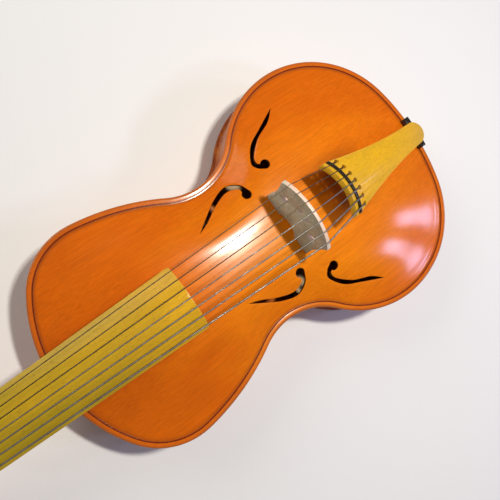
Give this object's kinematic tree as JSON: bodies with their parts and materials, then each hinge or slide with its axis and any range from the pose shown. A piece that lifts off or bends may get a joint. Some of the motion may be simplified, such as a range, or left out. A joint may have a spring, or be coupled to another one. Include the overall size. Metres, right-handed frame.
{
  "type": "seven-string viola d'amore",
  "caption": "Bowed string instrument with a figure-of-eight body, flame sound holes, fretless boxwood fingerboard and turning pegs.",
  "frame": {"origin": "on the resting face of the flat back, under the middle of the whole length and width", "axes": "+Z out of the soundboard, +Y from the tail to the head, +X to the treble side"},
  "size_m": [0.2414, 0.7118, 0.1304],
  "materials": {
    "spruce_top": "glossy orange-amber oil varnish",
    "purfling": "varnished, dark",
    "maple_body": "glossy orange-brown varnish on figured maple",
    "inside_wood": "bare, planed",
    "boxwood": "oiled and polished",
    "ebony": "polished",
    "bridge_maple": "bare, flecked, lightly stained",
    "peg_wood": "oiled and polished",
    "gut": "satin",
    "plain_string": "satin",
    "wound_string": "fine close winding"
  },
  "bodies": {
    "instrument": {"soundboard": "spruce_top", "purfling": "purfling", "back_plate": "maple_body", "rib_bass": "maple_body", "rib_treble": "maple_body", "neck": "maple_body", "pegbox": "maple_body", "lining_back_bass": "inside_wood", "lining_back_treble": "inside_wood", "lining_top_bass": "inside_wood", "lining_top_treble": "inside_wood", "neck_block": "inside_wood", "end_block": "inside_wood", "back_brace_lower": "inside_wood", "back_brace_middle": "inside_wood", "back_brace_upper": "inside_wood", "bass_bar": "inside_wood", "sound_post": "inside_wood", "fingerboard": "boxwood", "tailpiece": "boxwood", "end_button": "boxwood", "nut": "ebony", "tailpiece_saddle": "ebony", "bottom_saddle": "ebony", "bridge": "bridge_maple", "tail_gut": "gut", "string_1": "plain_string", "string_2": "plain_string", "string_3": "plain_string", "string_4": "wound_string", "string_5": "wound_string", "string_6": "wound_string", "string_7": "wound_string"},
    "tuning_peg_1": {"peg_1": "peg_wood", "string_1_winding": "plain_string"},
    "tuning_peg_2": {"peg_2": "peg_wood", "string_2_winding": "plain_string"},
    "tuning_peg_3": {"peg_3": "peg_wood", "string_3_winding": "plain_string"},
    "tuning_peg_4": {"peg_4": "peg_wood", "string_4_winding": "wound_string"},
    "tuning_peg_5": {"peg_5": "peg_wood", "string_5_winding": "wound_string"},
    "tuning_peg_6": {"peg_6": "peg_wood", "string_6_winding": "wound_string"},
    "tuning_peg_7": {"peg_7": "peg_wood", "string_7_winding": "wound_string"}
  },
  "joints": [
    {"name": "peg_1_turn", "type": "hinge", "parent": "instrument", "child": "tuning_peg_1", "pos_m": [0, 0.22285, 0.04181], "axis": [1, 0, 0], "continuous": true},
    {"name": "peg_2_turn", "type": "hinge", "parent": "instrument", "child": "tuning_peg_2", "pos_m": [0, 0.25013, 0.03551], "axis": [1, 0, 0], "continuous": true},
    {"name": "peg_3_turn", "type": "hinge", "parent": "instrument", "child": "tuning_peg_3", "pos_m": [0, 0.27741, 0.02921], "axis": [1, 0, 0], "continuous": true},
    {"name": "peg_4_turn", "type": "hinge", "parent": "instrument", "child": "tuning_peg_4", "pos_m": [0, 0.30469, 0.02291], "axis": [1, 0, 0], "continuous": true},
    {"name": "peg_5_turn", "type": "hinge", "parent": "instrument", "child": "tuning_peg_5", "pos_m": [0, 0.29105, 0.02606], "axis": [-1, 0, 0], "continuous": true},
    {"name": "peg_6_turn", "type": "hinge", "parent": "instrument", "child": "tuning_peg_6", "pos_m": [0, 0.26377, 0.03236], "axis": [-1, 0, 0], "continuous": true},
    {"name": "peg_7_turn", "type": "hinge", "parent": "instrument", "child": "tuning_peg_7", "pos_m": [0, 0.23649, 0.03866], "axis": [-1, 0, 0], "continuous": true}
  ]
}
